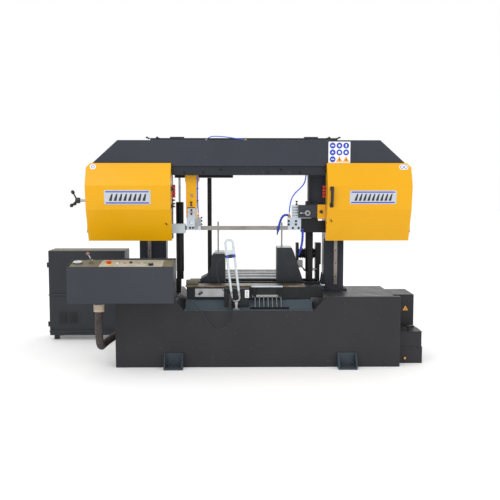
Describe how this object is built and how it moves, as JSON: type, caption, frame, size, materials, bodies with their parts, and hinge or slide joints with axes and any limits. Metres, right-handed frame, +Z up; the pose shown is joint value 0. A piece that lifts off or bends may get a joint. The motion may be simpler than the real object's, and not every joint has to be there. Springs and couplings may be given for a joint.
{
  "type": "horizontal band saw",
  "caption": "Double-column horizontal band saw: hydraulically lifted bow with covered band wheels, vise, roller infeed, chip tray, slanted control desk and floor cabinet.",
  "frame": {"origin": "centre of the four floor-anchor holes, on the floor", "axes": "+X to the operator's right, +Y towards the infeed at the rear, +Z up; the bow is raised at rest"},
  "size_m": [3.005, 1.507, 1.706],
  "materials": {
    "machine_paint": "satin charcoal-grey paint",
    "beam_paint": "satin slate-grey paint",
    "yellow_paint": "gloss yellow paint",
    "black_paint": "satin black paint",
    "cabinet_paint": "satin charcoal paint",
    "bare_steel": "machined bare steel",
    "ground_steel": "ground steel",
    "blade_steel": "rolled blade steel",
    "table_steel": "worn machined iron",
    "cast_dark": "painted cast iron",
    "hard_chrome": "hard chrome rod",
    "guide_alloy": "machined alloy",
    "guard_paint": "pale blue-grey paint",
    "panel_alloy": "engraved-look panel plate",
    "black_plastic": "black plastic",
    "red_plastic": "red plastic",
    "green_plastic": "green plastic",
    "white_plastic": "white plastic",
    "grey_plastic": "grey plastic",
    "hose_black": "ribbed black sleeve",
    "cable_black": "black cable jacket",
    "hose_blue": "blue segmented hose"
  },
  "bodies": {
    "base": {"base_shell": "machine_paint", "chip_tray": "black_paint", "foot_brackets": "machine_paint", "bed_frame": "cast_dark", "table_plates": "table_steel", "vise_ways": "hard_chrome", "outfeed_front": "bare_steel", "outfeed_grate": "black_paint", "columns": "machine_paint", "column_rails": "ground_steel", "lift_cylinders": "black_paint", "fixed_jaw": "cast_dark", "vise_drive": "black_paint", "limit_post": "black_paint", "infeed_frame": "machine_paint", "side_box": "machine_paint", "coolant_tank": "machine_paint", "cabinet": "cabinet_paint", "cable_duct": "cabinet_paint", "console": "machine_paint", "console_panel": "panel_alloy", "console_bracket": "machine_paint", "hose_sleeve": "hose_black", "lamp_base": "guide_alloy", "control_cable": "cable_black"},
    "bow": {"bow_beam": "beam_paint", "wheel_housings": "beam_paint", "saw_blade": "blade_steel", "right_guide": "guide_alloy", "blade_guards": "guard_paint", "gear_motor": "black_paint", "lift_rods": "hard_chrome", "bow_brackets": "machine_paint", "carriages": "bare_steel", "coolant_hoses": "hose_blue"},
    "left_guide": {"guide_arm": "yellow_paint", "guide_head": "guide_alloy"},
    "left_cover": {"left_cover": "yellow_paint"},
    "right_cover": {"right_cover": "yellow_paint"},
    "idler_wheel": {"idler_wheel": "cast_dark"},
    "drive_wheel": {"drive_wheel": "cast_dark"},
    "star_handle": {"star_handle": "black_plastic"},
    "clamp_lever": {"clamp_lever": "black_plastic"},
    "moving_jaw": {"moving_jaw": "cast_dark"},
    "roller_1": {"roller_1": "bare_steel"},
    "roller_2": {"roller_2": "bare_steel"},
    "roller_3": {"roller_3": "bare_steel"},
    "roller_4": {"roller_4": "bare_steel"},
    "tank_lid": {"tank_lid": "machine_paint"},
    "cabinet_door": {"cabinet_door": "cabinet_paint"},
    "lamp_arm": {"lamp_arm": "guide_alloy", "lamp_lead": "cable_black"},
    "estop": {"estop": "red_plastic"},
    "button_white": {"button_white": "white_plastic"},
    "button_red": {"button_red": "red_plastic"},
    "button_grey": {"button_grey": "grey_plastic"},
    "button_green": {"button_green": "green_plastic"},
    "selector": {"selector": "black_plastic"},
    "feed_knob": {"feed_knob": "black_plastic"},
    "valve_lever": {"valve_lever": "hard_chrome"}
  },
  "joints": [
    {"name": "bow_lift", "type": "slide", "parent": "base", "child": "bow", "axis": [0, 0, 1], "range_m": [-0.404, 0]},
    {"name": "left_guide_slide", "type": "slide", "parent": "bow", "child": "left_guide", "axis": [1, 0, 0], "range_m": [0, 0.2]},
    {"name": "left_cover_hinge", "type": "hinge", "parent": "bow", "child": "left_cover", "pos_m": [-1.285, -0.152, 1.209], "axis": [0, 0, -1], "range_deg": [0, 95]},
    {"name": "right_cover_hinge", "type": "hinge", "parent": "bow", "child": "right_cover", "pos_m": [1.123, -0.152, 1.209], "axis": [0, 0, 1], "range_deg": [0, 95]},
    {"name": "drive_wheel_spin", "type": "hinge", "parent": "bow", "child": "drive_wheel", "pos_m": [0.806, -0.07, 1.209], "axis": [0, 1, 0], "continuous": true},
    {"name": "idler_wheel_spin", "type": "hinge", "parent": "bow", "child": "idler_wheel", "pos_m": [-0.958, -0.07, 1.209], "axis": [0, 1, 0], "continuous": true},
    {"name": "star_handle_turn", "type": "hinge", "parent": "bow", "child": "star_handle", "pos_m": [-1.297, -0.06, 1.209], "axis": [1, 0, 0], "continuous": true},
    {"name": "clamp_lever_turn", "type": "hinge", "parent": "bow", "child": "clamp_lever", "pos_m": [0.362, -0.13, 1.115], "axis": [0, 1, 0], "range_deg": [-40, 40]},
    {"name": "vise_jaw_slide", "type": "slide", "parent": "base", "child": "moving_jaw", "axis": [1, 0, 0], "range_m": [-0.397, 0]},
    {"name": "roller_1_spin", "type": "hinge", "parent": "base", "child": "roller_1", "pos_m": [-0.04, 0.232, 0.559], "axis": [1, 0, 0], "continuous": true},
    {"name": "roller_2_spin", "type": "hinge", "parent": "base", "child": "roller_2", "pos_m": [-0.04, 0.427, 0.559], "axis": [1, 0, 0], "continuous": true},
    {"name": "roller_3_spin", "type": "hinge", "parent": "base", "child": "roller_3", "pos_m": [-0.04, 0.622, 0.559], "axis": [1, 0, 0], "continuous": true},
    {"name": "roller_4_spin", "type": "hinge", "parent": "base", "child": "roller_4", "pos_m": [-0.04, 0.817, 0.559], "axis": [1, 0, 0], "continuous": true},
    {"name": "tank_lid_hinge", "type": "hinge", "parent": "base", "child": "tank_lid", "pos_m": [1.1, -0.115, 0.244], "axis": [-1, 0, 0], "range_deg": [0, 85]},
    {"name": "cabinet_door_hinge", "type": "hinge", "parent": "base", "child": "cabinet_door", "pos_m": [-1.788, 0.599, 0.4], "axis": [0, 0, -1], "range_deg": [0, 110]},
    {"name": "lamp_arm_tilt", "type": "hinge", "parent": "base", "child": "lamp_arm", "pos_m": [-0.175, -0.337, 0.464], "axis": [0, 1, 0], "range_deg": [-25, 25]},
    {"name": "estop_press", "type": "slide", "parent": "base", "child": "estop", "axis": [0, 0.1588, -0.9873], "range_m": [0, 0.004], "stiffness_N_per_m": 900},
    {"name": "button_white_press", "type": "slide", "parent": "base", "child": "button_white", "axis": [0, 0.1588, -0.9873], "range_m": [0, 0.003], "stiffness_N_per_m": 400},
    {"name": "button_red_press", "type": "slide", "parent": "base", "child": "button_red", "axis": [0, 0.1588, -0.9873], "range_m": [0, 0.003], "stiffness_N_per_m": 400},
    {"name": "button_grey_press", "type": "slide", "parent": "base", "child": "button_grey", "axis": [0, 0.1588, -0.9873], "range_m": [0, 0.003], "stiffness_N_per_m": 400},
    {"name": "button_green_press", "type": "slide", "parent": "base", "child": "button_green", "axis": [0, 0.1588, -0.9873], "range_m": [0, 0.003], "stiffness_N_per_m": 400},
    {"name": "selector_turn", "type": "hinge", "parent": "base", "child": "selector", "pos_m": [-0.914, -0.535, 0.7845], "axis": [0, -0.1588, 0.9873], "range_deg": [-45, 45]},
    {"name": "feed_knob_turn", "type": "hinge", "parent": "base", "child": "feed_knob", "pos_m": [-0.77, -0.57449, 0.77815], "axis": [0, -0.1588, 0.9873], "range_deg": [-150, 150]},
    {"name": "valve_lever_turn", "type": "hinge", "parent": "base", "child": "valve_lever", "pos_m": [-1.19, -0.535, 0.7845], "axis": [0, -0.1588, 0.9873], "range_deg": [-60, 60]}
  ],
  "couplings": [
    {"joint": "idler_wheel_spin", "follows": "drive_wheel_spin", "ratio": 1}
  ]
}
